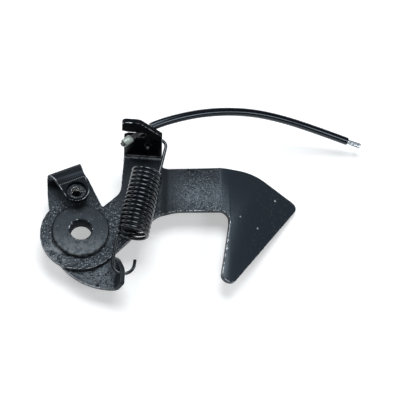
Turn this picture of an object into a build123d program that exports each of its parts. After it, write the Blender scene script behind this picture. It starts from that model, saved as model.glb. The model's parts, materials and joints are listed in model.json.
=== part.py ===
from build123d import *

import os
from math import cos, radians, sin, sqrt, tan

# Cab safety latch: a pressed hook that turns on a flanged bush against an anchor plate,
# pulled onto its stop by a tension spring and let go by a short release cable.
# Millimetres. The origin is on the pivot axis in the anchor plate's mounting face,
# +Z leaves that face and +X runs along the hook's arm.

# Sheets and running gaps
plate_t = 3.2
anchor_t = 2.5
axial_gap = 0.1
radial_gap = 0.08

# Pivot bush
bolt_bore_r = 6.25
spigot_r = 8.0
shank_r = 10.0
flange_r = 16.5
flange_t = 3.3
flange_round = 0.7
bore_chamfer = 0.5

# Hook, plan: ring, neck, arm and throat
ring_r = 24.0
throat_side_angle = 48.0
throat_corner_x = 48.6
throat_root_round = 30.0
arm_end_x = 85.0
arm_bottom_y = 20.7
arm_top_y = 51.7
arm_root_round = 2.0
arm_top_slope = 0.097
neck_left_x = 23.1
neck_rise = 4.786
elbow = (22.1, 28.5)
elbow_round = 9.0
notch = (11.7, 17.7)
notch_round = 0.7

# Hook, side view: step in the arm and set of the blade
step_start_x = 47.5
step_run = 3.5
step_drop = 1.5
step_round = 6.0
bend_x = 86.8
blade_angle = 15.0
blade_bend_r = 25.0

# Hook: blade outline, along the blade from its bend and across it
blade_root_u = -3.0
throat_corner_u = 4.35
throat_corner_round = 6.0
blade_foot = (-5.0, -39.7)
blade_foot_round = 5.0
blade_nose = (52.4, 33.45)
blade_nose_round = 4.5
blade_shoulder = (20.4, 52.3)
blade_shoulder_round = 35.0

# Hook: tab folded back over the plate, along and across its own axis
tab_origin = (-7.1, 27.9)
tab_angle = 27.0
tab_bend = 4.5
tab_inner_r = 4.5
tab_foot_left = (-17.9, -6.3)
tab_left = -14.4
tab_right = 12.0
tab_crest_left = -11.2
tab_crest_right = 9.9
tongue_half_w = 8.9
tongue_end_r = 7.5
tongue_hole = (0.0, -6.8)
pilot_gap = 0.4

# Weld nut under the tab
nut_flats = 13.0
nut_h = 4.8
nut_pilot_r = 5.3
nut_pilot_h = 0.6
nut_thread_r = 3.4
nut_chamfer = 0.4

# Ear for the cable and the spring
ear_inner_r = 2.2
ear_right_x = 47.0
ear_left_top_x = 22.3
ear_nose_x = 20.6
ear_top_z = 43.1
ear_shoulder_x = 31.1
ear_right_top = (45.3, 30.2)
ear_nose_round = 2.6
ear_shoulder_round = 5.2
ear_right_round = 1.3
slot_mouth_low_z = 26.8
slot_mouth_high_z = 34.3
slot_low_z = 28.5
slot_high_z = 33.2
slot_throat_x = 24.6
slot_end_x = 35.3
slot_end_flat = 0.1
ear_spring_hole = (37.2, 19.8)
spring_hole_gap = 0.8

# Anchor plate
anchor_ring_r = 21.5
lobe_centre = (19.5, 5.4)
lobe_r = 39.8
lobe_left_x = -14.4
lip_bend_x = 19.9
lip_angle = 73.0
lip_inner_r = 2.5
lip_top_z = 12.0
lip_crown_run = 9.2
lip_back_y = -12.8
lip_back_z = 0.6
lip_round = 1.5
lip_crown_round = 8.0
lip_hole_run = 7.798
lip_hole_z = 8.3

# Tension spring: its coil low over the hook, and the coil's upper end and the hooks' corners
# measured from the holes that they hang in
wire_r = 1.0
coil_r = 8.5
coil_low = (30.6, -4.4)
coil_gap = 0.2
coil_high = (0.4, -19.3, 0.8)
coil_turns = 15.2
coil_start_angle = 40.0
leg_rise = 4.0
leg_round = 2.2
low_hook = ((-5.8, 0, 0.1), (7.2, 0, 0.1), (7.8, 8.1, 2.7))
low_hook_round = 6.2
high_hook = ((12.1, 4.8, -0.6), (-0.2, 4.8, 0), (-0.2, -2.6, 0))
high_hook_round = 4.0
high_tip_round = 2.2

# Release cable: wire rope, plastic sheath and crimped ferrule
rope_r = 1.5
sheath_r = 2.6
sheath_gap = 0.05
ferrule_r = 2.5
ferrule_l = 5.8
ferrule_stand = 2.7
sheath_start = 7.4
bare_end = 9.8
cable_route = [
    (21.2, 47.3, 30.5),
    (32.0, 57.6, 31.3),
    (48.5, 67.3, 31.0),
    (72.4, 77.3, 28.0),
    (98.4, 84.1, 22.0),
    (122.6, 86.0, 14.8),
    (153.6, 85.0, 3.6),
    (181.8, 81.1, -4.6),
]
bend_share = 0.45

os.makedirs("parts", exist_ok=True)

hook_z = anchor_t + axial_gap
hook_top = hook_z + plate_t
flange_z = hook_top + axial_gap
arm_left_y = arm_top_y - (arm_end_x - ear_right_x) * arm_top_slope
ear_bend_y = arm_left_y + neck_rise
ear_face_y = ear_bend_y + ear_inner_r
slot_end_r = (slot_high_z - slot_low_z - slot_end_flat) / 2
tongue_hole_r = nut_pilot_r + pilot_gap
spring_hole_r = wire_r + spring_hole_gap
sheath_bore_r = rope_r + sheath_gap
reach = ear_face_y + ring_r


def corner(sketch, point):
    """The corner of a sketch that lies nearest a point."""
    return sketch.vertices().sort_by_distance(Vector(*point))[0]


# Anchor plate: flat disc and lobe, clamped under the bush
lobe_low_y = lobe_centre[1] - sqrt(lobe_r**2 - (lip_bend_x - lobe_centre[0]) ** 2)
lobe_left_y = lobe_centre[1] - sqrt(lobe_r**2 - (lobe_centre[0] - lobe_left_x) ** 2)
lobe_mid_x = (lobe_left_x + lip_bend_x) / 2
lobe_mid_y = lobe_centre[1] - sqrt(lobe_r**2 - (lobe_centre[0] - lobe_mid_x) ** 2)
with BuildPart() as anchor_flat:
    with BuildSketch():
        Circle(anchor_ring_r)
        with BuildLine():
            ThreePointArc(
                (lobe_left_x, lobe_left_y),
                (lobe_mid_x, lobe_mid_y),
                (lip_bend_x, lobe_low_y),
            )
            Polyline(
                (lip_bend_x, lobe_low_y),
                (lip_bend_x, -sqrt(anchor_ring_r**2 - lip_bend_x**2)),
                (0, 0),
                (lobe_left_x, lobe_left_y),
            )
        make_face()
        Circle(spigot_r, mode=Mode.SUBTRACT)
    extrude(amount=anchor_t)

# Anchor plate: the lip, bent up past its corner and trimmed to its outline
lip_mid_r = lip_inner_r + anchor_t / 2
lip_corner_x = lip_bend_x + lip_mid_r * tan(radians(lip_angle / 2))
lip_rise = lip_top_z + anchor_t
lip_crown_y = lobe_low_y + lip_crown_run
lip_hole = (lobe_low_y + lip_hole_run, lip_hole_z)
with BuildPart() as anchor_lip:
    with BuildSketch(Plane.XZ):
        with BuildLine():
            FilletPolyline(
                (lip_bend_x - lip_inner_r, anchor_t / 2),
                (lip_corner_x, anchor_t / 2),
                (lip_corner_x + lip_rise / tan(radians(lip_angle)), anchor_t / 2 + lip_rise),
                radius=lip_mid_r,
            )
        trace(line_width=anchor_t)
    extrude(amount=reach, both=True)
    with BuildSketch(Plane.YZ) as lip_outline:
        with BuildLine():
            Polyline(
                (lobe_low_y, 0),
                (lobe_low_y, lip_top_z),
                (lip_crown_y, lip_top_z),
                (lip_back_y, lip_back_z),
                (lip_back_y, 0),
                close=True,
            )
        make_face()
        fillet(corner(lip_outline, (lobe_low_y, lip_top_z)), lip_round)
        fillet(corner(lip_outline, (lip_crown_y, lip_top_z)), lip_crown_round)
        with Locations(lip_hole):
            Circle(spring_hole_r, mode=Mode.SUBTRACT)
    extrude(amount=reach, mode=Mode.INTERSECT)
    split(bisect_by=Plane.YZ.offset(lip_bend_x), keep=Keep.TOP)

with BuildPart() as anchor_plate:
    add(anchor_flat.part)
    add(anchor_lip.part)

# Pivot bush: flange, bearing shank and the spigot staked in the anchor plate
with BuildPart() as pivot_bush:
    with BuildSketch(Plane.XZ):
        with BuildLine():
            Polyline(
                (bolt_bore_r, 0),
                (spigot_r, 0),
                (spigot_r, anchor_t),
                (shank_r, anchor_t),
                (shank_r, flange_z),
                (flange_r, flange_z),
                (flange_r, flange_z + flange_t),
                (bolt_bore_r, flange_z + flange_t),
                close=True,
            )
        make_face()
    revolve(axis=Axis.Z)
    top_edges = pivot_bush.edges().filter_by(GeomType.CIRCLE).group_by(Axis.Z)[-1]
    fillet(top_edges.sort_by(SortBy.RADIUS)[-1], flange_round)
    top_edges = pivot_bush.edges().filter_by(GeomType.CIRCLE).group_by(Axis.Z)[-1]
    chamfer(top_edges.sort_by(SortBy.RADIUS)[0], bore_chamfer)

# Hook: the pressed sheet seen from the side, over its whole width
arm_mid_z = hook_z + plate_t / 2
blade_drop = (reach + bend_x) * tan(radians(blade_angle))
with BuildPart() as hook_strip:
    with BuildSketch(Plane.XZ):
        with BuildLine():
            FilletPolyline(
                (-reach, arm_mid_z),
                (step_start_x, arm_mid_z),
                (step_start_x + step_run, arm_mid_z - step_drop),
                (bend_x, arm_mid_z - step_drop),
                (2 * bend_x + reach, arm_mid_z - step_drop - blade_drop),
                radius=[step_round, step_round, blade_bend_r],
            )
        trace(line_width=plate_t)
    extrude(amount=2 * reach, both=True)

# Hook: outline of ring, tab foot, neck and arm
tab = Plane(
    origin=(tab_origin[0], tab_origin[1], 0),
    x_dir=(cos(radians(tab_angle)), sin(radians(tab_angle)), 0),
    z_dir=(0, 0, 1),
)
tab_foot = [
    tab.from_local_coords(Vector(*p))
    for p in (tab_foot_left, (tab_left, tab_bend), (tab_right, tab_bend))
]
throat_dir = Vector(cos(radians(throat_side_angle)), sin(radians(throat_side_angle)))
ring_tangent = Vector(throat_dir.Y, -throat_dir.X) * ring_r
throat_corner_y = ring_tangent.Y + (throat_corner_x - ring_tangent.X) * tan(
    radians(throat_side_angle)
)
tab_side = (tab_foot[2] - Vector(*notch)).normalized() * ring_r / 2
neck_side = (Vector(*elbow) - Vector(*notch)).normalized() * ring_r / 2
with BuildPart() as hook_flat:
    with BuildSketch() as plan:
        Circle(ring_r)
        with BuildLine():
            Polyline(
                (0, 0),
                (ring_tangent.X, ring_tangent.Y),
                (throat_corner_x, throat_corner_y),
                (arm_end_x, arm_bottom_y),
                (arm_end_x, arm_top_y),
                (ear_right_x, arm_left_y),
                (ear_right_x, ear_bend_y),
                (neck_left_x, ear_bend_y),
                elbow,
                notch,
                close=True,
            )
        make_face()
        with BuildLine():
            Polyline((0, 0), notch, *[(p.X, p.Y) for p in reversed(tab_foot)], close=True)
        make_face()
        with BuildLine():
            Polyline(
                notch,
                (notch[0] + tab_side.X, notch[1] + tab_side.Y),
                (notch[0] + neck_side.X, notch[1] + neck_side.Y),
                close=True,
            )
        make_face(mode=Mode.SUBTRACT)
        fillet(corner(plan, (throat_corner_x, throat_corner_y)), throat_root_round)
        fillet(corner(plan, elbow), elbow_round)
        fillet(corner(plan, (ear_right_x, arm_left_y)), arm_root_round)
        fillet(corner(plan, notch), notch_round)
        Circle(shank_r + radial_gap, mode=Mode.SUBTRACT)
    extrude(amount=hook_top + plate_t)
    add(hook_strip.part, mode=Mode.INTERSECT)

# Hook: the blade, cut square to its own sloping face
blade_face = Plane(
    origin=(bend_x, 0, arm_mid_z - step_drop),
    x_dir=(cos(radians(blade_angle)), 0, -sin(radians(blade_angle))),
    z_dir=(sin(radians(blade_angle)), 0, cos(radians(blade_angle))),
)
with BuildPart() as hook_blade:
    with BuildSketch(blade_face) as blade_outline:
        with BuildLine():
            Polyline(
                (blade_root_u, arm_bottom_y),
                (throat_corner_u, arm_bottom_y),
                blade_foot,
                blade_nose,
                blade_shoulder,
                (blade_root_u, arm_top_y),
                close=True,
            )
        make_face()
    extrude(amount=2 * plate_t, both=True)
    upright = hook_blade.edges().filter_by(Axis((0, 0, 0), blade_face.z_dir))
    for spot, round_r in (
        ((throat_corner_u, arm_bottom_y), throat_corner_round),
        (blade_foot, blade_foot_round),
        (blade_nose, blade_nose_round),
        (blade_shoulder, blade_shoulder_round),
    ):
        target = blade_face.from_local_coords(Vector(*spot))
        fillet(upright.sort_by_distance(target)[0], round_r)
        upright = hook_blade.edges().filter_by(Axis((0, 0, 0), blade_face.z_dir))
    add(hook_strip.part, mode=Mode.INTERSECT)

# Hook: the ear, bent up square, with its cable slot and spring hole
with BuildPart() as hook_ear:
    with BuildSketch(Plane.YZ):
        with BuildLine():
            FilletPolyline(
                (ear_bend_y, arm_mid_z),
                (ear_face_y + plate_t / 2, arm_mid_z),
                (ear_face_y + plate_t / 2, ear_top_z + plate_t),
                radius=ear_inner_r + plate_t / 2,
            )
        trace(line_width=plate_t)
    extrude(amount=reach)
    with BuildSketch(Plane.XZ) as ear_outline:
        with BuildLine():
            Polyline(
                (neck_left_x, 0),
                (ear_left_top_x, slot_mouth_low_z),
                (slot_throat_x, slot_low_z),
                (slot_end_x, slot_low_z),
                (slot_end_x, slot_high_z),
                (slot_throat_x, slot_high_z),
                (ear_nose_x, slot_mouth_high_z),
                (ear_nose_x, ear_top_z),
                (ear_shoulder_x, ear_top_z),
                ear_right_top,
                (ear_right_x, hook_top),
                (ear_right_x, 0),
                close=True,
            )
        make_face()
        fillet(corner(ear_outline, (ear_nose_x, ear_top_z)), ear_nose_round)
        fillet(corner(ear_outline, (ear_shoulder_x, ear_top_z)), ear_shoulder_round)
        fillet(corner(ear_outline, ear_right_top), ear_right_round)
        fillet(corner(ear_outline, (slot_end_x, slot_low_z)), slot_end_r)
        fillet(corner(ear_outline, (slot_end_x, slot_high_z)), slot_end_r)
        with Locations(ear_spring_hole):
            Circle(spring_hole_r, mode=Mode.SUBTRACT)
    extrude(amount=-2 * reach, mode=Mode.INTERSECT)

# Hook: the fold of the tab, a half turn of sheet narrowed towards its crest
tab_outer_r = tab_inner_r + plate_t
fold_z = hook_z + tab_outer_r
fold_section = Plane(
    origin=tab.from_local_coords(Vector(0, 0, 0)), x_dir=tab.y_dir, z_dir=tab.x_dir
)
with BuildPart() as tab_fold:
    with BuildSketch(fold_section):
        with Locations((tab_bend, fold_z)):
            Circle(tab_outer_r)
            Circle(tab_inner_r, mode=Mode.SUBTRACT)
            with Locations((-tab_outer_r, 0)):
                Rectangle(2 * tab_outer_r, 3 * tab_outer_r, mode=Mode.SUBTRACT)
    extrude(amount=reach, both=True)
with BuildPart() as tab_fold_low:
    with BuildSketch(tab):
        with BuildLine():
            Polyline(
                (tab_left, tab_bend),
                (tab_crest_left, tab_bend + tab_outer_r),
                (tab_crest_right, tab_bend + tab_outer_r),
                (tab_right, tab_bend),
                close=True,
            )
        make_face()
    extrude(amount=fold_z)
    add(tab_fold.part, mode=Mode.INTERSECT)
with BuildPart() as tab_fold_high:
    with BuildSketch(tab.offset(fold_z)):
        with BuildLine():
            Polyline(
                (-tongue_half_w, tab_bend),
                (tab_crest_left, tab_bend + tab_outer_r),
                (tab_crest_right, tab_bend + tab_outer_r),
                (tongue_half_w, tab_bend),
                close=True,
            )
        make_face()
    extrude(amount=tab_outer_r)
    add(tab_fold.part, mode=Mode.INTERSECT)

# Hook: the tongue over the plate, tapering to its round end
tongue_z = fold_z + tab_inner_r
with BuildPart() as tab_tongue:
    with BuildSketch(tab.offset(tongue_z)):
        with BuildLine():
            Polyline(
                (-tongue_half_w, tab_bend),
                (tongue_half_w, tab_bend),
                (tongue_end_r, tongue_hole[1]),
                (-tongue_end_r, tongue_hole[1]),
                close=True,
            )
        make_face()
        with Locations(tongue_hole):
            Circle(tongue_end_r)
            Circle(tongue_hole_r, mode=Mode.SUBTRACT)
    extrude(amount=plate_t)

with BuildPart() as hook_plate:
    add(hook_flat.part)
    add(hook_blade.part)
    add(hook_ear.part)
    add(tab_fold_low.part)
    add(tab_fold_high.part)
    add(tab_tongue.part)

# Weld nut: hexagon under the tongue, its pilot in the tongue's hole
nut_foot = tab.offset(tongue_z - nut_h)
with BuildPart() as weld_nut:
    with BuildSketch(nut_foot):
        with Locations(tongue_hole):
            RegularPolygon(nut_flats / 2, 6, major_radius=False)
    extrude(amount=nut_h)
    with BuildSketch(tab.offset(tongue_z)):
        with Locations(tongue_hole):
            Circle(nut_pilot_r)
    extrude(amount=nut_pilot_h)
    with BuildSketch(nut_foot):
        with Locations(tongue_hole):
            Circle(nut_thread_r)
    extrude(amount=nut_h + nut_pilot_h, mode=Mode.SUBTRACT)
    rim = weld_nut.edges().group_by(Axis.Z)[0].filter_by(GeomType.LINE)
    chamfer(rim, nut_chamfer)

# Tension spring: close coil, with a leg and an open hook at each end
lip_hole_x = lip_corner_x + (lip_hole_z - anchor_t / 2) / tan(radians(lip_angle))
low_seat = Vector(lip_hole_x, *lip_hole)
high_seat = Vector(ear_spring_hole[0], ear_face_y, ear_spring_hole[1])
coil_base = Vector(*coil_low, hook_top + coil_gap + coil_r + wire_r)
coil_axis = high_seat + Vector(*coil_high) - coil_base
coil_run = coil_axis.length
start_angle = radians(coil_start_angle)
start_side = Vector(-cos(start_angle), 0, -sin(start_angle))
start_side -= coil_axis.normalized() * start_side.dot(coil_axis.normalized())
coil_frame = Plane(origin=coil_base, x_dir=start_side, z_dir=coil_axis)
with BuildPart() as tension_spring:
    with BuildLine() as coil_path:
        coil = Helix(coil_run / coil_turns, coil_run, coil_r, lefthand=True, mode=Mode.PRIVATE)
        add(coil_frame.from_local_coords(coil))
    with BuildSketch(Plane(origin=coil_path.line @ 0, z_dir=coil_path.line % 0)):
        Circle(wire_r)
    sweep(path=coil_path.line, is_frenet=True)
    for spot, heading, seat, hook, rounds in (
        (
            coil_path.line @ 0,
            coil_path.line % 0 * -1,
            low_seat,
            low_hook,
            [leg_round, low_hook_round, low_hook_round],
        ),
        (
            coil_path.line @ 1,
            coil_path.line % 1,
            high_seat,
            high_hook,
            [leg_round, high_hook_round, high_tip_round],
        ),
    ):
        with BuildLine() as leg:
            FilletPolyline(
                spot,
                spot + heading * leg_rise,
                *[seat + Vector(*p) for p in hook],
                radius=rounds,
            )
        with BuildSketch(Plane(origin=leg.line @ 0, z_dir=leg.line % 0)):
            Circle(wire_r)
        sweep(path=leg.line)

# Release cable: its line, with as large a bend at each point of the route as fits
route = [Vector(*p) for p in cable_route]
bend_radii = []
for before, here, after in zip(route, route[1:], route[2:]):
    half_turn = radians((here - before).get_angle(after - here)) / 2
    shorter_run = min((here - before).length, (after - here).length)
    bend_radii.append(bend_share * shorter_run / tan(half_turn))
print("cable bend radii", [round(r, 1) for r in bend_radii])
with BuildLine() as cable_line:
    FilletPolyline(*route, radius=bend_radii)
cable = cable_line.wires()[0]
print("cable length", round(cable.length, 1))

# Release cable: rope along the whole line, hollow sheath over the stretch behind the ear
with BuildPart() as cable_rope:
    with BuildSketch(Plane(origin=cable @ 0, z_dir=cable % 0)):
        Circle(rope_r)
    sweep(path=cable)

front_run = route[1] - route[0]
sheathed = cable.trim(
    (front_run.length + sheath_start) / cable.length,
    1 - bare_end / cable.length,
)
with BuildPart() as cable_sheath:
    with BuildSketch(Plane(origin=sheathed @ 0, z_dir=sheathed % 0)):
        Circle(sheath_r)
        Circle(sheath_bore_r, mode=Mode.SUBTRACT)
    sweep(path=sheathed)

# Ferrule crimped on the rope in front of the ear
ferrule_share = (ear_face_y - ferrule_stand - route[0].Y) / front_run.Y
ferrule_base = route[0] + front_run * ferrule_share
with BuildPart() as cable_ferrule:
    with BuildSketch(Plane(origin=ferrule_base, z_dir=front_run * -1)):
        Circle(ferrule_r)
        Circle(rope_r, mode=Mode.SUBTRACT)
    extrude(amount=ferrule_l)

pieces = {
    "anchor_plate": anchor_plate,
    "pivot_bush": pivot_bush,
    "hook_plate": hook_plate,
    "weld_nut": weld_nut,
    "tension_spring": tension_spring,
    "cable_rope": cable_rope,
    "cable_sheath": cable_sheath,
    "cable_ferrule": cable_ferrule,
}
for name, piece in pieces.items():
    piece.part.label = name
    export_step(piece.part, f"parts/{name}.step")
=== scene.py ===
import json
import math

import bpy
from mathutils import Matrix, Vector

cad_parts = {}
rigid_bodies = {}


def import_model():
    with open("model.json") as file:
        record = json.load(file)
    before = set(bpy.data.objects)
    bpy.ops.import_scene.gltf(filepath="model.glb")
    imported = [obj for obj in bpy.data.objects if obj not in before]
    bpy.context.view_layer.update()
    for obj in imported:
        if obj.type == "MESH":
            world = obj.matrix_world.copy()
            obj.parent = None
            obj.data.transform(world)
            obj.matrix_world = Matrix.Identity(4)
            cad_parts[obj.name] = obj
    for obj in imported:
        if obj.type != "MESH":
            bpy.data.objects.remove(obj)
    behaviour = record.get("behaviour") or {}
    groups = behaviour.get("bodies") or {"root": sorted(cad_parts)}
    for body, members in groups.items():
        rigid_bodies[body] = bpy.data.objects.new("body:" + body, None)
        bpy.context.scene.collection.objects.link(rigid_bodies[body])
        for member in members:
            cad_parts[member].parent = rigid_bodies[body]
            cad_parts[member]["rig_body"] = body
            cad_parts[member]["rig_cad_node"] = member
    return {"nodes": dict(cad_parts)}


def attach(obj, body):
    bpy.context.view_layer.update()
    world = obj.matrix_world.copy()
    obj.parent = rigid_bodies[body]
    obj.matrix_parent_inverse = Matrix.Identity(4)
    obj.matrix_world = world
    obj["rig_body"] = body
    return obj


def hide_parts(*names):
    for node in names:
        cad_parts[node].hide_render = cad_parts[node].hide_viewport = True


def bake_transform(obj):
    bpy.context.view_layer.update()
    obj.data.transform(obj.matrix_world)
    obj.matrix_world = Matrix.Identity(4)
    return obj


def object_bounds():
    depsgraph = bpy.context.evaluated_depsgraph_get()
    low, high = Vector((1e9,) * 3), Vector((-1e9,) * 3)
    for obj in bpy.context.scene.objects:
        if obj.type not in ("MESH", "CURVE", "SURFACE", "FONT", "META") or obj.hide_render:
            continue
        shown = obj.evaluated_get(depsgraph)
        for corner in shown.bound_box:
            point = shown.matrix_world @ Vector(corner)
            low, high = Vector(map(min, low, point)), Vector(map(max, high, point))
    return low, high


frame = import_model()
nodes = frame["nodes"]
cad_low, cad_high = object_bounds()

# Camera
# Looks down on the latch from a little below its arm through a long lens, turned as the
# photographer held it.
camera_data = bpy.data.cameras.new("photo_camera")
camera_data.lens = 72
camera_data.sensor_width = 36
camera_data.clip_end = 100
camera = bpy.data.objects.new("photo_camera", camera_data)
camera.location = (0.01935, -0.21257, 0.43727)
camera.rotation_euler = (math.radians(28.811), math.radians(-6.870), 0)
bpy.context.scene.collection.objects.link(camera)
bpy.context.scene.camera = camera
bpy.context.scene.view_settings.view_transform = "Standard"

# Floor
# A wide sheet of white paper just under the lowest point of the blade. Seen directly or in a
# reflection it is near white, and for the light it stays a plain pale matt surface.


def add_node(tree, kind, inputs=None, **settings):
    """A shader node with its settings, each input fed by a plain value or by an output."""
    added = tree.nodes.new(kind)
    for name, value in settings.items():
        setattr(added, name, value)
    for socket, value in (inputs or {}).items():
        if isinstance(value, bpy.types.NodeSocket):
            tree.links.new(value, added.inputs[socket])
        else:
            added.inputs[socket].default_value = value
    return added


def maths(tree, operation, *values):
    """One step of arithmetic on masks, distances and plain numbers."""
    return add_node(
        tree, "ShaderNodeMath", dict(enumerate(values)), operation=operation
    ).outputs[0]


def new_material(name, colour, roughness, metallic=0.0):
    """A material of one plain colour, with its node tree and its shader."""
    material = bpy.data.materials.new(name)
    material.use_nodes = True
    shader = material.node_tree.nodes["Principled BSDF"]
    shader.inputs["Base Color"].default_value = (*colour, 1)
    shader.inputs["Roughness"].default_value = roughness
    shader.inputs["Metallic"].default_value = metallic
    return material, material.node_tree, shader


floor_width = 60
floor_gap = 0.0008
bpy.ops.object.select_all(action="DESELECT")
bpy.ops.mesh.primitive_plane_add(size=floor_width, location=(0.05, 0, cad_low.z - floor_gap))
floor = bpy.context.active_object
floor.name = "paper_floor"
paper, paper_tree, paper_shader = new_material("paper_white", (0.78, 0.78, 0.78), 0.9)
paper_shader.inputs["Emission Color"].default_value = (1, 1, 1, 1)
rays = add_node(paper_tree, "ShaderNodeLightPath").outputs
seen = maths(paper_tree, "MAXIMUM", rays["Is Camera Ray"], rays["Is Glossy Ray"])
seen = maths(paper_tree, "MAXIMUM", seen, rays["Is Transmission Ray"])
paper_glow = maths(paper_tree, "MULTIPLY", seen, 0.42)
paper_tree.links.new(paper_glow, paper_shader.inputs["Emission Strength"])
floor.data.materials.append(paper)

# Studio light
# One large soft panel hangs over and behind the latch, where its flat faces mirror it. A weaker
# one stands on the left, a small one on the right, in an even white room.
cool_white = (0.93, 0.97, 1)
lit_middle = Vector((0.05, 0.02, 0))
room = bpy.data.worlds.new("white_room")
room.use_nodes = True
room_light = room.node_tree.nodes["Background"]
room_light.inputs["Color"].default_value = (*cool_white, 1)
room_light.inputs["Strength"].default_value = 0.15
bpy.context.scene.world = room
for name, place, width, watts in (
    ("back_panel", (0.06, 0.34, 1.0), 0.52, 8.0),
    ("left_panel", (-0.62, 0.42, 0.66), 0.3, 2.6),
    ("right_panel", (0.68, -0.34, 0.62), 0.25, 1.7),
):
    panel_data = bpy.data.lights.new(name, "AREA")
    panel_data.size = width
    panel_data.energy = watts
    panel_data.color = cool_white
    panel = bpy.data.objects.new(name, panel_data)
    panel.location = place
    panel.rotation_mode = "QUATERNION"
    panel.rotation_quaternion = (lit_middle - Vector(place)).to_track_quat("-Z", "Y")
    bpy.context.scene.collection.objects.link(panel)

# Anchor plate
# Pressed from 2.5 mm steel sheet: a disc under the hook with one lobe, whose lip is bent up as
# the stop and holds the spring's lower hook. Black paint, scuffed pale and worn off its edges.


def object_axes(tree):
    """The place on the piece, then that place's x, y and z."""
    place = add_node(tree, "ShaderNodeTexCoord").outputs["Object"]
    axes = add_node(tree, "ShaderNodeSeparateXYZ", {"Vector": place}).outputs
    return place, axes["X"], axes["Y"], axes["Z"]


def ramp(tree, value, low, high, start=0.0, end=1.0):
    """A value stretched from low and high to start and end."""
    return add_node(
        tree,
        "ShaderNodeMapRange",
        {"Value": value, "From Min": low, "From Max": high, "To Min": start, "To Max": end},
    ).outputs["Result"]


def times(tree, mask, *others):
    """Masks multiplied: what lies in all of them."""
    for other in others:
        mask = maths(tree, "MULTIPLY", mask, other)
    return mask


def clouds(tree, place, scale, detail, roughness=0.5):
    """Soft noise from 0 to 1."""
    return add_node(
        tree,
        "ShaderNodeTexNoise",
        {"Vector": place, "Scale": scale, "Detail": detail, "Roughness": roughness},
    ).outputs["Fac"]


def scattered_dots(tree, place, scale):
    """Round dots, and a number from 0 to 1 that differs from dot to dot."""
    cells = add_node(tree, "ShaderNodeTexVoronoi", {"Vector": place, "Scale": scale}).outputs
    pick = add_node(tree, "ShaderNodeSeparateColor", {"Color": cells["Color"]})
    return ramp(tree, cells["Distance"], 0.2, 0.4, 1, 0), pick.outputs["Red"]


def new_group(name, inlets, outlets):
    """A shader node group whose named inputs and outputs are plain numbers."""
    group = bpy.data.node_groups.new(name, "ShaderNodeTree")
    for socket in inlets:
        group.interface.new_socket(socket, in_out="INPUT", socket_type="NodeSocketFloat")
    for socket in outlets:
        group.interface.new_socket(socket, in_out="OUTPUT", socket_type="NodeSocketFloat")
    inlet = group.nodes.new("NodeGroupInput")
    outlet = group.nodes.new("NodeGroupOutput")
    return group, inlet.outputs, outlet.inputs


def paint_grain():
    """Sprayed paint: its fine lumps, its slow change over the sheet and its dry pale specks."""
    group, given, made = new_group(
        "paint_grain", ("Grain scale", "Patch scale", "Speck share"), ("Grain", "Patch", "Speck")
    )
    place = add_node(group, "ShaderNodeTexCoord").outputs["Object"]
    dot, pick = scattered_dots(group, place, given["Grain scale"])
    picked = maths(group, "LESS_THAN", pick, given["Speck share"])
    group.links.new(clouds(group, place, given["Grain scale"], 2, 0.55), made["Grain"])
    group.links.new(clouds(group, place, given["Patch scale"], 4, 0.6), made["Patch"])
    group.links.new(times(group, picked, dot), made["Speck"])
    return group


def edge_wear():
    """Where the paint is rubbed off a sheared edge: a share of it, as far as one place along x."""
    group, given, made = new_group("edge_wear", ("Share", "Up to"), ("Bare",))
    place, x, _, _ = object_axes(group)
    rub = clouds(group, place, 420, 4, 0.7)
    rub_low = maths(group, "MULTIPLY_ADD", given["Share"], -1 / 3, 0.62)
    rub_high = maths(group, "ADD", rub_low, 0.04)
    past = maths(group, "ADD", given["Up to"], 0.003)
    bare = times(
        group, ramp(group, rub, rub_low, rub_high), ramp(group, x, given["Up to"], past, 1, 0.1)
    )
    group.links.new(bare, made["Bare"])
    return group


grain_group = paint_grain()
wear_group = edge_wear()
painted_shade_black = (0.003, 0.004, 0.006)
deep_black = (0.001, 0.001, 0.002)
speck_grey = (0.23, 0.25, 0.27)
rubbed_steel = (0.34, 0.36, 0.38)
cool_sheen = (0.76, 0.89, 1, 1)


def paint_over(material, mask, colour=None, roughness=None, metallic=None):
    """Gives a material another colour, roughness or metal wherever the mask is 1."""
    tree = material.node_tree
    shader = tree.nodes["Principled BSDF"]
    for socket, value, kind in (
        ("Base Color", colour, "RGBA"),
        ("Roughness", roughness, "FLOAT"),
        ("Metallic", metallic, "FLOAT"),
    ):
        if value is None:
            continue
        under = shader.inputs[socket]
        over = add_node(
            tree,
            "ShaderNodeMix",
            {
                "Factor": mask,
                "A": under.links[0].from_socket if under.is_linked else under.default_value,
                "B": (*value, 1) if kind == "RGBA" else value,
            },
            data_type=kind,
        )
        tree.links.new(over.outputs["Result"], under)


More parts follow.
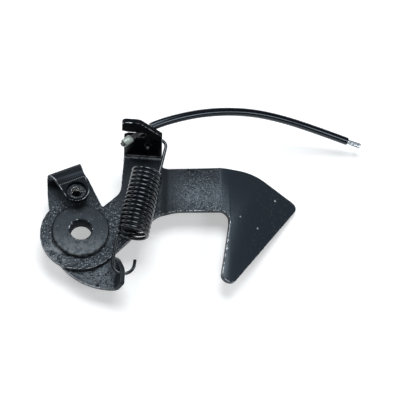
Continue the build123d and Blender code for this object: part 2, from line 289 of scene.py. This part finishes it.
def painted(name, dark, light, gloss, relief, grain=1000, patches=90, specks=0.0, fades=()):
    """Paint on steel. Each of the fades takes the grain down to a share between two places
    along an axis."""
    material, tree, shader = new_material(name, dark, gloss[0])
    shader.inputs["Specular Tint"].default_value = cool_sheen
    paint = add_node(
        tree,
        "ShaderNodeGroup",
        {"Grain scale": grain, "Patch scale": patches, "Speck share": specks},
        node_tree=grain_group,
    ).outputs
    shade = add_node(
        tree,
        "ShaderNodeMix",
        {
            "Factor": ramp(tree, paint["Patch"], 0.35, 0.65),
            "A": (*dark, 1),
            "B": (*light, 1),
        },
        data_type="RGBA",
    )
    tree.links.new(shade.outputs["Result"], shader.inputs["Base Color"])
    tree.links.new(ramp(tree, paint["Patch"], 0.3, 0.7, *gloss), shader.inputs["Roughness"])
    kept = []
    if fades:
        _, x, y, z = object_axes(tree)
        for axis, first, last, share in fades:
            along = {"X": x, "Y": y, "Z": z}[axis]
            kept.append(ramp(tree, along, first, last, 1, share))
    bump = add_node(
        tree,
        "ShaderNodeBump",
        {"Strength": 1, "Distance": relief, "Height": times(tree, paint["Grain"], *kept)},
    )
    tree.links.new(bump.outputs["Normal"], shader.inputs["Normal"])
    if specks:
        pit = times(tree, ramp(tree, paint["Grain"], 0.45, 0.38), *kept)
        paint_over(material, pit, deep_black, 0.8)
        paint_over(material, times(tree, paint["Speck"], *kept), speck_grey, 0.4)
    return material


def worn(name, paint, share, up_to=1.0):
    """The same paint along a sheared edge, as far as one place along x rubbed and chipped to
    bare steel in places."""
    material = paint.copy()
    material.name = name
    bare = add_node(
        material.node_tree,
        "ShaderNodeGroup",
        {"Share": share, "Up to": up_to},
        node_tree=wear_group,
    ).outputs["Bare"]
    paint_over(material, bare, rubbed_steel, 0.38, 0.7)
    return material


def select_only(piece):
    """Selects one piece and makes it the active one."""
    bpy.ops.object.select_all(action="DESELECT")
    piece.select_set(True)
    bpy.context.view_layer.objects.active = piece


def copy_of_node(node_name, piece_name, *materials):
    """A free copy of a solid, with materials of its own."""
    select_only(nodes[node_name])
    bpy.ops.object.duplicate()
    piece = bpy.context.active_object
    piece.name = piece_name
    piece.parent = None
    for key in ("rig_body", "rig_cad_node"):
        del piece[key]
    piece.data.materials.clear()
    for material in materials:
        piece.data.materials.append(material)
    return piece


def rounded_copy(node_name, piece_name, width, paint, edge):
    """A copy of a steel solid with its facets joined again and its sharp edges rounded over.
    The rounded edges get the second material."""
    piece = copy_of_node(node_name, piece_name, paint, edge)
    bpy.ops.object.mode_set(mode="EDIT")
    bpy.ops.mesh.customdata_custom_splitnormals_clear()
    bpy.ops.mesh.select_all(action="SELECT")
    bpy.ops.mesh.remove_doubles(threshold=0.000002)
    bpy.ops.mesh.dissolve_limited(angle_limit=math.radians(0.5))
    bpy.ops.object.mode_set(mode="OBJECT")
    rounding = piece.modifiers.new("rounded_edges", "BEVEL")
    rounding.width = width
    rounding.segments = 2
    rounding.limit_method = "ANGLE"
    rounding.angle_limit = math.radians(35)
    rounding.use_clamp_overlap = False
    rounding.material = 1
    bpy.ops.object.modifier_apply(modifier="rounded_edges")
    bpy.ops.object.shade_smooth_by_angle(angle=math.radians(30))
    return piece


anchor_paint = painted(
    "anchor_black_paint",
    dark=(0.006, 0.007, 0.009),
    light=(0.07, 0.077, 0.085),
    gloss=(0.24, 0.46),
    relief=0.00045,
    grain=620,
    patches=190,
    specks=0.07,
)
# The bent-up lip is painted near black and duller: painted shade.
_, _, _, anchor_z = object_axes(anchor_paint.node_tree)
lip_painted_shade = ramp(anchor_paint.node_tree, anchor_z, 0.0032, 0.0055)
paint_over(anchor_paint, lip_painted_shade, painted_shade_black, 0.7)
anchor_edge = worn("anchor_worn_edge", anchor_paint, 0.6, up_to=0.014)
anchor_plate = rounded_copy(
    "anchor_plate", "anchor_plate_pressed", 0.0004, anchor_paint, anchor_edge
)
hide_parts("anchor_plate")
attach(anchor_plate, "anchor")

# Pivot bush
# A turned steel bush: its flange holds the hook down and its spigot is staked in the anchor
# plate. Painted with the rest; the lower side of the flange is painted paler, partly scuffs and
# partly a painted sheen.


def in_plan(tree, place):
    """A place with its height taken away, for distances from an upright axis."""
    return add_node(
        tree, "ShaderNodeVectorMath", {0: place, 1: (1, 1, 0)}, operation="MULTIPLY"
    ).outputs[0]


def near(tree, place, point, inner, outer):
    """1 within the inner distance from a point, 0 past the outer one."""
    away = add_node(
        tree, "ShaderNodeVectorMath", {0: place, 1: point}, operation="DISTANCE"
    ).outputs["Value"]
    return ramp(tree, away, inner, outer, 1, 0)


pivot_axis = (0, 0, 0)
bush_paint = painted(
    "bush_slate_paint",
    dark=(0.006, 0.008, 0.011),
    light=(0.02, 0.023, 0.027),
    gloss=(0.36, 0.5),
    relief=0.00008,
    grain=1300,
    patches=160,
    specks=0.03,
)
bush_tree = bush_paint.node_tree
bush_place, _, bush_y, _ = object_axes(bush_tree)
high_side = ramp(bush_tree, bush_y, -0.012, 0.006)
paint_over(bush_paint, high_side, roughness=0.64)
flange_scuffs_and_painted_sheen = times(
    bush_tree,
    ramp(bush_tree, bush_y, -0.002, -0.017),
    ramp(bush_tree, clouds(bush_tree, bush_place, 330, 5, 0.7), 0.45, 0.54),
)
paint_over(bush_paint, flange_scuffs_and_painted_sheen, (0.15, 0.158, 0.16), 0.6)
# The bore's wall is painted near black and rough as painted shade.
bush_bore_painted_shade = near(bush_tree, in_plan(bush_tree, bush_place), pivot_axis, 0.0064, 0.0066)
paint_over(bush_paint, bush_bore_painted_shade, (0.002, 0.003, 0.006), 0.85)
# The rounded edge is worn, and its reflection is tinted darker as a painted shade line.
bush_worn_and_shaded_edge = worn("bush_worn_edge_and_painted_shade", bush_paint, 0.2)
bush_worn_and_shaded_edge.node_tree.nodes["Principled BSDF"].inputs["Specular Tint"].default_value = (
    0.3, 0.35, 0.4, 1
)
pivot_bush = rounded_copy("pivot_bush", "pivot_bush_turned", 0.0005, bush_paint, bush_worn_and_shaded_edge)
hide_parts("pivot_bush")
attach(pivot_bush, "anchor")

# Hook plate
# One piece of 3.2 mm steel, blanked and folded: the ring that turns on the bush, a tab turned
# back over it, the ear for cable and spring, the joggled arm and the bent blade. The paint is
# dry and gritty near the pivot, smooth on the blade, and chipped to steel at its edges.
tongue_hole = Vector((-0.004013, 0.021841, 0))
tongue_rim_radius = 0.0066
turned_up_from = 0.0085
ear_top_from = 0.026
flange_shadow = (-0.0004, 0.0014, 0)
ring_pale_patch_middle = (-0.0135, -0.0155, 0)
tab_shift = (-0.00634, -0.02808, 0)
tab_turn = (0, 0, math.radians(-27))
highlight_dot_spacing = 0.00055
corner_middle = 0.0069
hook_paint = painted(
    "hook_black_paint",
    dark=(0.005, 0.0065, 0.009),
    light=(0.018, 0.021, 0.026),
    gloss=(0.24, 0.42),
    relief=0.0007,
    grain=820,
    patches=110,
    specks=0.6,
    fades=(
        ("X", 0.036, 0.046, 0.75),
        ("X", 0.08, 0.088, 0.12),
        ("Z", turned_up_from, 0.0105, 0.08),
        ("Y", 0.021, 0.028, 0.6),
    ),
)
hook_tree = hook_paint.node_tree
hook_place, hook_x, hook_y, hook_z = object_axes(hook_tree)
hook_in_plan = in_plan(hook_tree, hook_place)

# Painted shade: the tab and ear, the joggle of the arm and the neck beyond the ring are painted
# near black.
on_tab_or_ear = ramp(hook_tree, hook_z, 0.0075, 0.0095)
paint_over(hook_paint, on_tab_or_ear, (0.001, 0.0016, 0.003), 0.9)
joggle_painted_shade = times(
    hook_tree,
    ramp(hook_tree, hook_x, 0.046, 0.048),
    ramp(hook_tree, hook_x, 0.050, 0.064, 1, 0),
)
paint_over(hook_paint, joggle_painted_shade, painted_shade_black, 0.62)
neck_painted_shade = times(
    hook_tree,
    ramp(hook_tree, hook_y, 0.014, 0.028),
    ramp(hook_tree, hook_x, 0.048, 0.045),
)
paint_over(hook_paint, neck_painted_shade, painted_shade_black, 0.66)

# Smooth blade with a few grains of dust sprayed in.
on_blade = ramp(hook_tree, hook_x, 0.082, 0.090)
paint_over(hook_paint, on_blade, (0.010, 0.0145, 0.021), 0.4)
dust, dust_pick = scattered_dots(hook_tree, hook_place, 760)
dust_on_blade = times(
    hook_tree,
    dust,
    ramp(hook_tree, dust_pick, 0.78, 0.8),
    ramp(hook_tree, hook_x, 0.092, 0.125),
)
paint_over(hook_paint, dust_on_blade, (0.05, 0.053, 0.05), 0.5)

# Smooth front of the ear, painted near black as painted shade.
right_of_tab = ramp(hook_tree, hook_x, 0.0185, 0.0195)
left_of_ear = ramp(hook_tree, hook_x, 0.0185, 0.0195, 1, 0)
before_ear_back = ramp(hook_tree, hook_y, 0.0557, 0.0559, 1, 0)
ear_front_painted_shade = times(hook_tree, right_of_tab, before_ear_back, on_tab_or_ear)
paint_over(hook_paint, ear_front_painted_shade, (0.001, 0.0015, 0.003), 0.3)

# A painted sheen in streaks along the tab's fold, and a dotted painted highlight along the crease
# of the tongue.
tab_place = add_node(
    hook_tree,
    "ShaderNodeMapping",
    {"Vector": hook_place, "Location": tab_shift, "Rotation": tab_turn},
).outputs["Vector"]
tab_axes = add_node(hook_tree, "ShaderNodeSeparateXYZ", {"Vector": tab_place}).outputs
tab_drawn = add_node(
    hook_tree, "ShaderNodeMapping", {"Vector": tab_place, "Scale": (12, 420, 0)}
).outputs["Vector"]
fold_painted_sheen = times(
    hook_tree,
    on_tab_or_ear,
    ramp(hook_tree, tab_axes["Y"], 0.0005, 0.0015),
    left_of_ear,
    ramp(hook_tree, clouds(hook_tree, tab_drawn, 1, 1), 0.48, 0.6),
)
paint_over(hook_paint, fold_painted_sheen, (0.022, 0.026, 0.032), 0.5)
crease_painted_highlight = times(
    hook_tree,
    ramp(hook_tree, maths(hook_tree, "PINGPONG", tab_axes["X"], highlight_dot_spacing), 0.0002, 0.0004),
    ramp(hook_tree, maths(hook_tree, "ABSOLUTE", tab_axes["Y"]), 0.00022, 0.00034, 1, 0),
    ramp(hook_tree, maths(hook_tree, "ABSOLUTE", tab_axes["X"]), 0.0074, 0.0078, 1, 0),
    ramp(hook_tree, hook_z, 0.0150, 0.0155),
)
paint_over(hook_paint, crease_painted_highlight, (0.16, 0.17, 0.18), 0.5)

# The ring, painted paler on its lower left as scuffs and painted sheen, and a painted shadow round
# the bush's flange.
ring_scuffs_and_painted_sheen = times(
    hook_tree,
    near(hook_tree, hook_in_plan, ring_pale_patch_middle, 0.006, 0.015),
    ramp(hook_tree, clouds(hook_tree, hook_place, 260, 4, 0.65), 0.48, 0.66),
)
paint_over(hook_paint, ring_scuffs_and_painted_sheen, (0.2, 0.215, 0.23), 0.45)
# Painted shadow: a dark line on the ring just outside the flange.
painted_shadow_by_flange = times(
    hook_tree,
    near(hook_tree, hook_in_plan, flange_shadow, 0.0168, 0.0173),
    ramp(hook_tree, hook_z, 0.0068, 0.0064),
)
paint_over(hook_paint, painted_shadow_by_flange, deep_black, 0.9)

# Top of the ear painted near black and dull as painted shade, and two painted highlight lines
# along the bend at its foot.
ear_top_painted_shade = times(hook_tree, right_of_tab, ramp(hook_tree, hook_z, ear_top_from, 0.027))
paint_over(hook_paint, ear_top_painted_shade, (0.001, 0.0012, 0.002), 0.9)
from_corner_middle = maths(
    hook_tree, "ABSOLUTE", maths(hook_tree, "ADD", hook_z, -corner_middle)
)
bend_painted_highlights = times(
    hook_tree,
    right_of_tab,
    ramp(hook_tree, hook_y, 0.0512, 0.0518),
    ramp(hook_tree, hook_z, 0.0058, 0.0062),
    ramp(hook_tree, hook_z, 0.0079, 0.0076),
    ramp(hook_tree, from_corner_middle, 0.0003, 0.0006, 0.15, 1),
    ramp(hook_tree, clouds(hook_tree, hook_place, 500, 3, 0.6), 0.36, 0.52),
)
paint_over(hook_paint, bend_painted_highlights, (0.45, 0.47, 0.49), 0.5)

# Five ragged chips on arm and blade, each with its place and radius.
chip_rag = 0.0012
chip_noise = add_node(
    hook_tree, "ShaderNodeTexNoise", {"Vector": hook_place, "Scale": 900, "Detail": 2}
).outputs["Color"]
chip_shift = add_node(
    hook_tree, "ShaderNodeVectorMath", {0: chip_noise, "Scale": chip_rag}, operation="SCALE"
).outputs[0]
chip_place = add_node(
    hook_tree, "ShaderNodeVectorMath", {0: hook_place, 1: chip_shift}, operation="ADD"
).outputs[0]
for x, y, z, radius in (
    (0.0973, 0.0187, 0.0016, 0.0006),
    (0.1084, 0.0125, -0.0014, 0.0006),
    (0.1212, 0.0348, -0.0049, 0.0007),
    (0.0888, 0.0009, 0.0038, 0.0007),
    (0.0883, -0.0046, 0.0040, 0.0007),
):
    chip_middle = (x + chip_rag / 2, y + chip_rag / 2, z + chip_rag / 2)
    chip = near(hook_tree, chip_place, chip_middle, radius * 0.7, radius)
    paint_over(hook_paint, chip, (0.42, 0.43, 0.44), 0.45)

# The turned-up faces, the rim of the tongue's hole and the ear's top edge have duller paint.
hook_edge = worn("hook_worn_edge", hook_paint, 0.42)
hook_turned_up = hook_paint.copy()
hook_turned_up.name = "hook_matt_paint_on_tab_and_ear"
hook_turned_up.node_tree.nodes["Principled BSDF"].inputs["Specular IOR Level"].default_value = 0.2
hook_plate = rounded_copy("hook_plate", "hook_plate_pressed", 0.00035, hook_paint, hook_edge)
hook_plate.data.materials.append(hook_turned_up)
for face in hook_plate.data.polygons:
    if face.center.z < turned_up_from:
        continue
    from_hole = (face.center * Vector((1, 1, 0)) - tongue_hole).length
    behind_ear_top = face.center.z > ear_top_from and face.normal.y > -0.2
    if face.material_index == 0 or from_hole < tongue_rim_radius or behind_ear_top:
        face.material_index = 2
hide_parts("hook_plate")
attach(hook_plate, "hook")

# Weld nut
# A hexagon nut under the tab's tongue, its pilot standing in the tongue's hole. The paint
# hasn't run into its M8 thread, which is bare steel.
thread_pitch = 0.00125
nut_paint = painted(
    "nut_black_paint",
    dark=(0.005, 0.006, 0.008),
    light=(0.02, 0.021, 0.024),
    gloss=(0.35, 0.6),
    relief=0.0007,
    specks=0.25,
)
nut_tree = nut_paint.node_tree
nut_normal = nut_tree.nodes["Principled BSDF"].inputs["Normal"]
nut_place = add_node(nut_tree, "ShaderNodeTexCoord").outputs["Object"]
nut_centred = add_node(
    nut_tree, "ShaderNodeMapping", {"Vector": nut_place, "Location": -tongue_hole}
).outputs["Vector"]
nut_axes = add_node(nut_tree, "ShaderNodeSeparateXYZ", {"Vector": nut_centred}).outputs
around = maths(nut_tree, "ARCTAN2", nut_axes["Y"], nut_axes["X"])
lead = maths(nut_tree, "MULTIPLY", around, thread_pitch / (2 * math.pi))
risen = maths(nut_tree, "SUBTRACT", nut_axes["Z"], lead)
thread = maths(nut_tree, "PINGPONG", risen, thread_pitch / 2)
in_nut_bore = near(nut_tree, in_plan(nut_tree, nut_centred), (0, 0, 0), 0.00341, 0.00345)
thread_bump = add_node(
    nut_tree,
    "ShaderNodeBump",
    {
        "Strength": 0.7,
        "Distance": 0.6,
        "Height": times(nut_tree, thread, in_nut_bore),
        "Normal": nut_normal.links[0].from_socket,
    },
)
nut_tree.links.new(thread_bump.outputs["Normal"], nut_normal)
paint_over(nut_paint, in_nut_bore, (0.85, 0.85, 0.83), 0.22, 0.95)
weld_nut = nodes["weld_nut"]
weld_nut.data.materials.clear()
weld_nut.data.materials.append(nut_paint)

# Tension spring
# Close coil of 2 mm wire with a gloss black coating, cut bare at its tips. It hangs between the
# anchor plate's lip and the hook's ear, so it stretches as the hook turns.
spring_gloss = painted(
    "spring_gloss_black",
    dark=(0.002, 0.002, 0.003),
    light=(0.006, 0.007, 0.008),
    gloss=(0.17, 0.27),
    relief=0.00002,
    grain=400,
    patches=80,
)
spring_tree = spring_gloss.node_tree
spring_tree.nodes["Principled BSDF"].inputs["Coat Weight"].default_value = 0.5
spring_tree.nodes["Principled BSDF"].inputs["Coat Roughness"].default_value = 0.14
spring_place = add_node(spring_tree, "ShaderNodeTexCoord").outputs["Object"]
for tip in ((0.0370, 0.0524, 0.0210), (0.0266, -0.0266, 0.0083)):
    at_tip = near(spring_tree, spring_place, tip, 0.0012, 0.0016)
    paint_over(spring_gloss, at_tip, (0.5, 0.5, 0.5), 0.35, 0.8)
spring = copy_of_node("tension_spring", "tension_spring_wire", spring_gloss)
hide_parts("tension_spring")
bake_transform(spring)

# Release cable: its route
# The cable lies free in one slow curve from the ear to its bare end. Rope and sheath both
# follow this line.


def add_curve(name, kind, lines):
    """A curve with one spline for each line of points."""
    data = bpy.data.curves.new(name, "CURVE")
    data.dimensions = "3D"
    for line in lines:
        spline = data.splines.new(kind)
        spline.points.add(len(line) - 1)
        for point, place in zip(spline.points, line):
            point.co = (*place, 1)
    curve = bpy.data.objects.new(name, data)
    bpy.context.scene.collection.objects.link(curve)
    return curve


route_points = (
    (0.0212, 0.0473, 0.0305),
    (0.0320, 0.0576, 0.0313),
    (0.0485, 0.0673, 0.0310),
    (0.0724, 0.0773, 0.0280),
    (0.0984, 0.0841, 0.0220),
    (0.1226, 0.0860, 0.0148),
    (0.1536, 0.0850, 0.0036),
    (0.1818, 0.0811, -0.0046),
)
route = add_curve("cable_route", "NURBS", [route_points])
route.data.resolution_u = 24
route.data.splines[0].order_u = 3
route.data.splines[0].use_endpoint_u = True
cable_line = [v.co.copy() for v in bpy.data.meshes.new_from_object(route).vertices]
bpy.data.objects.remove(route)
cable_length = sum((b - a).length for a, b in zip(cable_line, cable_line[1:]))


def stretch_of_cable(start, end, step):
    """Points along the cable's line, from one distance along it to another, evenly spaced."""
    steps = round((end - start) / step)
    wanted = [start + i * (end - start) / steps for i in range(steps + 1)]
    found = []
    travelled = 0.0
    for here, there in zip(cable_line, cable_line[1:]):
        run = (there - here).length
        while wanted and wanted[0] <= travelled + run + 1e-9:
            found.append(here.lerp(there, min(1, (wanted.pop(0) - travelled) / run)))
        travelled += run
    return found


# Release cable: rope
# Six galvanised strands laid round a core, 3 mm over all. Greasy in patches, painted dark near
# the ear as painted shade, and clean, bright and a little spread where it was cut at the far end.
rope_step = 0.0008
rope_bare_end = 0.0098
strands_round_core = 6
strand_radius = 0.0005
strand_from_middle = 0.0010
cut_end_spread = 0.0004
strand_lay = 0.016
rope_metal, rope_tree, _ = new_material("rope_galvanised", (0.66, 0.70, 0.74), 0.24, 0.85)
rope_place, rope_x, _, _ = object_axes(rope_tree)
rope_painted_shade_by_ear = ramp(rope_tree, rope_x, 0.03, 0.04, 1, 0)
paint_over(rope_metal, rope_painted_shade_by_ear, (0.10, 0.105, 0.11), 0.5, 0.6)
rope_grease = ramp(rope_tree, clouds(rope_tree, rope_place, 600, 3), 0.55, 0.7)
paint_over(rope_metal, rope_grease, (0.2, 0.21, 0.22), 0.5)
rope_line = stretch_of_cable(0.0, cable_length, rope_step)
last = len(rope_line) - 1
strands = []
for strand in range(strands_round_core):
    strand_line = []
    for i, place in enumerate(rope_line):
        ahead = rope_line[min(i + 1, last)] - rope_line[max(i - 1, 0)]
        across = ahead.cross(Vector((0, 0, 1))).normalized()
        upward = across.cross(ahead).normalized()
        turn = 2 * math.pi * (strand / strands_round_core + i * rope_step / strand_lay)
        spread = max(0.0, 1 - (last - i) * rope_step / rope_bare_end)
        out = strand_from_middle + cut_end_spread * math.sqrt(spread)
        strand_line.append(place + out * (across * math.cos(turn) + upward * math.sin(turn)))
    strands.append(strand_line)
strands.append(rope_line)
rope = add_curve("cable_rope_strands", "POLY", strands)
rope.data.bevel_depth = strand_radius
rope.data.bevel_resolution = 2
rope.data.use_fill_caps = True
select_only(rope)
bpy.ops.object.convert(target="MESH")
rope = bpy.context.active_object
bpy.ops.object.shade_smooth_by_angle(angle=math.radians(50))
rope.data.materials.append(rope_metal)
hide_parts("cable_rope")
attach(rope, "hook")

# Release cable: sheath
# Glossy black plastic tube extruded over the rope, cut square at both ends. It starts behind
# the ear and leaves the rope's far end bare.
sheath_plastic = painted(
    "sheath_black_plastic",
    dark=(0.0005, 0.001, 0.003),
    light=(0.002, 0.003, 0.006),
    gloss=(0.12, 0.2),
    relief=0.00002,
    grain=300,
    patches=60,
)
sheath_start = 0.0222
sheath_end = cable_length - 0.0104
sheath_radius = 0.0026
sheath_wall = 0.00105
sheath_line = stretch_of_cable(sheath_start, sheath_end, 0.0015)
sheath = add_curve("cable_sheath_tube", "POLY", [sheath_line])
sheath.data.bevel_depth = sheath_radius
sheath.data.bevel_resolution = 8
select_only(sheath)
bpy.ops.object.convert(target="MESH")
sheath = bpy.context.active_object
wall = sheath.modifiers.new("wall", "SOLIDIFY")
wall.thickness = sheath_wall
wall.offset = -1
bpy.ops.object.modifier_apply(modifier="wall")
bpy.ops.object.shade_smooth_by_angle(angle=math.radians(40))
sheath.data.materials.append(sheath_plastic)
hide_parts("cable_sheath")
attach(sheath, "hook")

# Release cable: ferrule
# A short plated sleeve crimped on the rope in two places, so that it can't pull through the
# ear. Its plating is dull and lightly pitted.
ferrule_metal, ferrule_tree, ferrule_shader = new_material(
    "ferrule_plated", (0.38, 0.43, 0.39), 0.48, 0.5
)
ferrule_place = add_node(ferrule_tree, "ShaderNodeTexCoord").outputs["Object"]
ferrule_stain = clouds(ferrule_tree, ferrule_place, 500, 4)
paint_over(
    ferrule_metal, ramp(ferrule_tree, ferrule_stain, 0.56, 0.7), (0.28, 0.32, 0.28), 0.6
)
ferrule_pits = add_node(
    ferrule_tree, "ShaderNodeBump", {"Strength": 1, "Distance": 0.0002, "Height": ferrule_stain}
)
ferrule_tree.links.new(ferrule_pits.outputs["Normal"], ferrule_shader.inputs["Normal"])
ferrule = rounded_copy(
    "cable_ferrule", "cable_ferrule_sleeve", 0.0003, ferrule_metal, ferrule_metal
)
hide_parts("cable_ferrule")
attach(ferrule, "hook")
